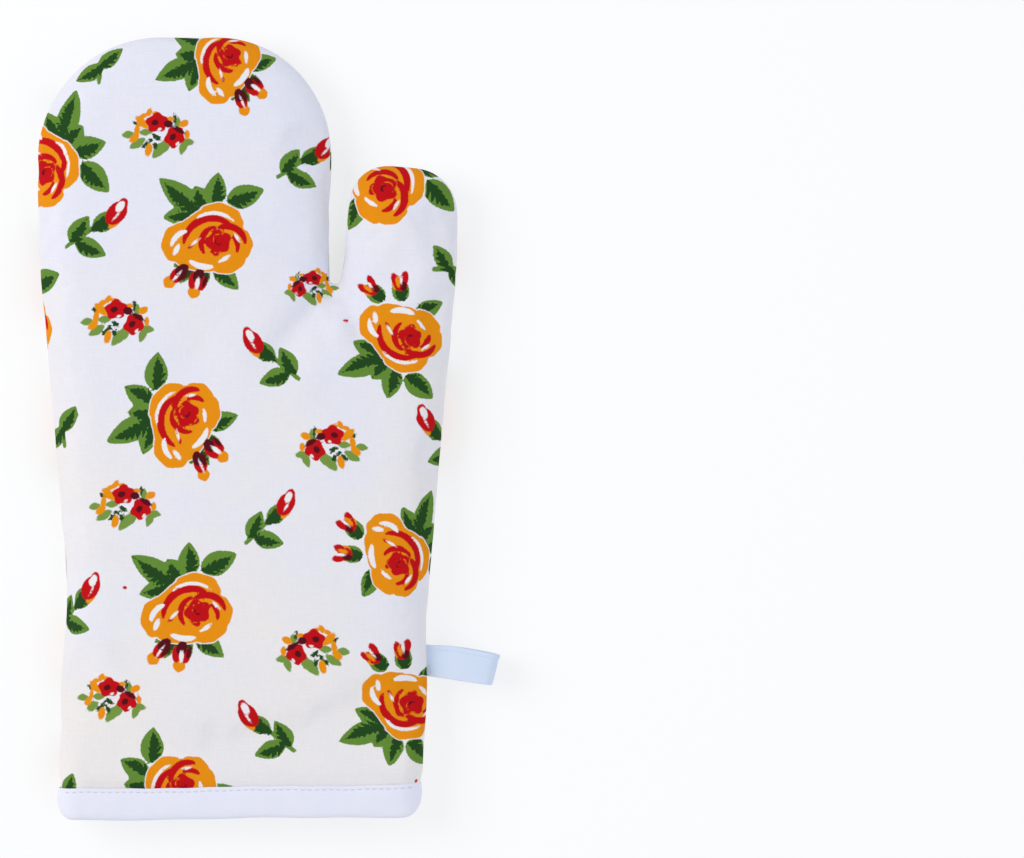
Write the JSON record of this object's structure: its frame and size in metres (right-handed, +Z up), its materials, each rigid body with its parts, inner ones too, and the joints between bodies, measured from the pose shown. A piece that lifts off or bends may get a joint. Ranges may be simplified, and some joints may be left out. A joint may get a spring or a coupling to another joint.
{
  "type": "oven mitt",
  "caption": "Padded oven mitt of rose-print cotton with a bound cuff, a thumb and a side hanging loop; its fingers and thumb fold and its loop swings.",
  "frame": {"origin": "under the centre of the mitt's box, on the surface it lies on", "axes": "+Y from the cuff towards the fingertips, +X towards the thumb, +Z up from the surface"},
  "size_m": [0.1952, 0.33, 0.022],
  "materials": {
    "printed_cotton": "plain-weave cotton with a printed rose pattern",
    "wadding": "soft fibre wadding",
    "lining": "plain undyed cotton",
    "binding_tape": "white woven tape",
    "loop_tape": "pale blue-white woven tape",
    "thread": "white sewing thread"
  },
  "bodies": {
    "hand": {"front_panel_hand": "printed_cotton", "back_panel_hand": "printed_cotton", "front_wadding_hand": "wadding", "back_wadding_hand": "wadding", "front_lining_hand": "lining", "back_lining_hand": "lining", "side_seam_thread_hand": "thread", "lining_seam_thread_hand": "thread", "cuff_binding": "binding_tape", "binding_stitches_front": "thread", "binding_stitches_back": "thread", "loop_tails": "loop_tape", "loop_tack_stitches": "thread"},
    "fingers": {"front_panel_fingers": "printed_cotton", "back_panel_fingers": "printed_cotton", "front_wadding_fingers": "wadding", "back_wadding_fingers": "wadding", "front_lining_fingers": "lining", "back_lining_fingers": "lining", "side_seam_thread_fingers": "thread", "lining_seam_thread_fingers": "thread"},
    "thumb": {"front_panel_thumb": "printed_cotton", "back_panel_thumb": "printed_cotton", "front_wadding_thumb": "wadding", "back_wadding_thumb": "wadding", "front_lining_thumb": "lining", "back_lining_thumb": "lining", "side_seam_thread_thumb": "thread", "lining_seam_thread_thumb": "thread"},
    "loop": {"hanging_loop": "loop_tape"}
  },
  "joints": [
    {"name": "finger_fold", "type": "hinge", "parent": "hand", "child": "fingers", "pos_m": [-0.03636, 0.0785, 0.011], "axis": [1, 0, 0], "range_deg": [0, 70]},
    {"name": "thumb_fold", "type": "hinge", "parent": "hand", "child": "thumb", "pos_m": [0.03673, 0.0742, 0.011], "axis": [0.8192, -0.5736, 0], "range_deg": [0, 45]},
    {"name": "loop_swing", "type": "hinge", "parent": "hand", "child": "loop", "pos_m": [0.06813, -0.0977, 0.011], "axis": [-0.1392, -0.9903, 0], "range_deg": [-12, 75], "stiffness_Nm_per_rad": 0.002}
  ]
}
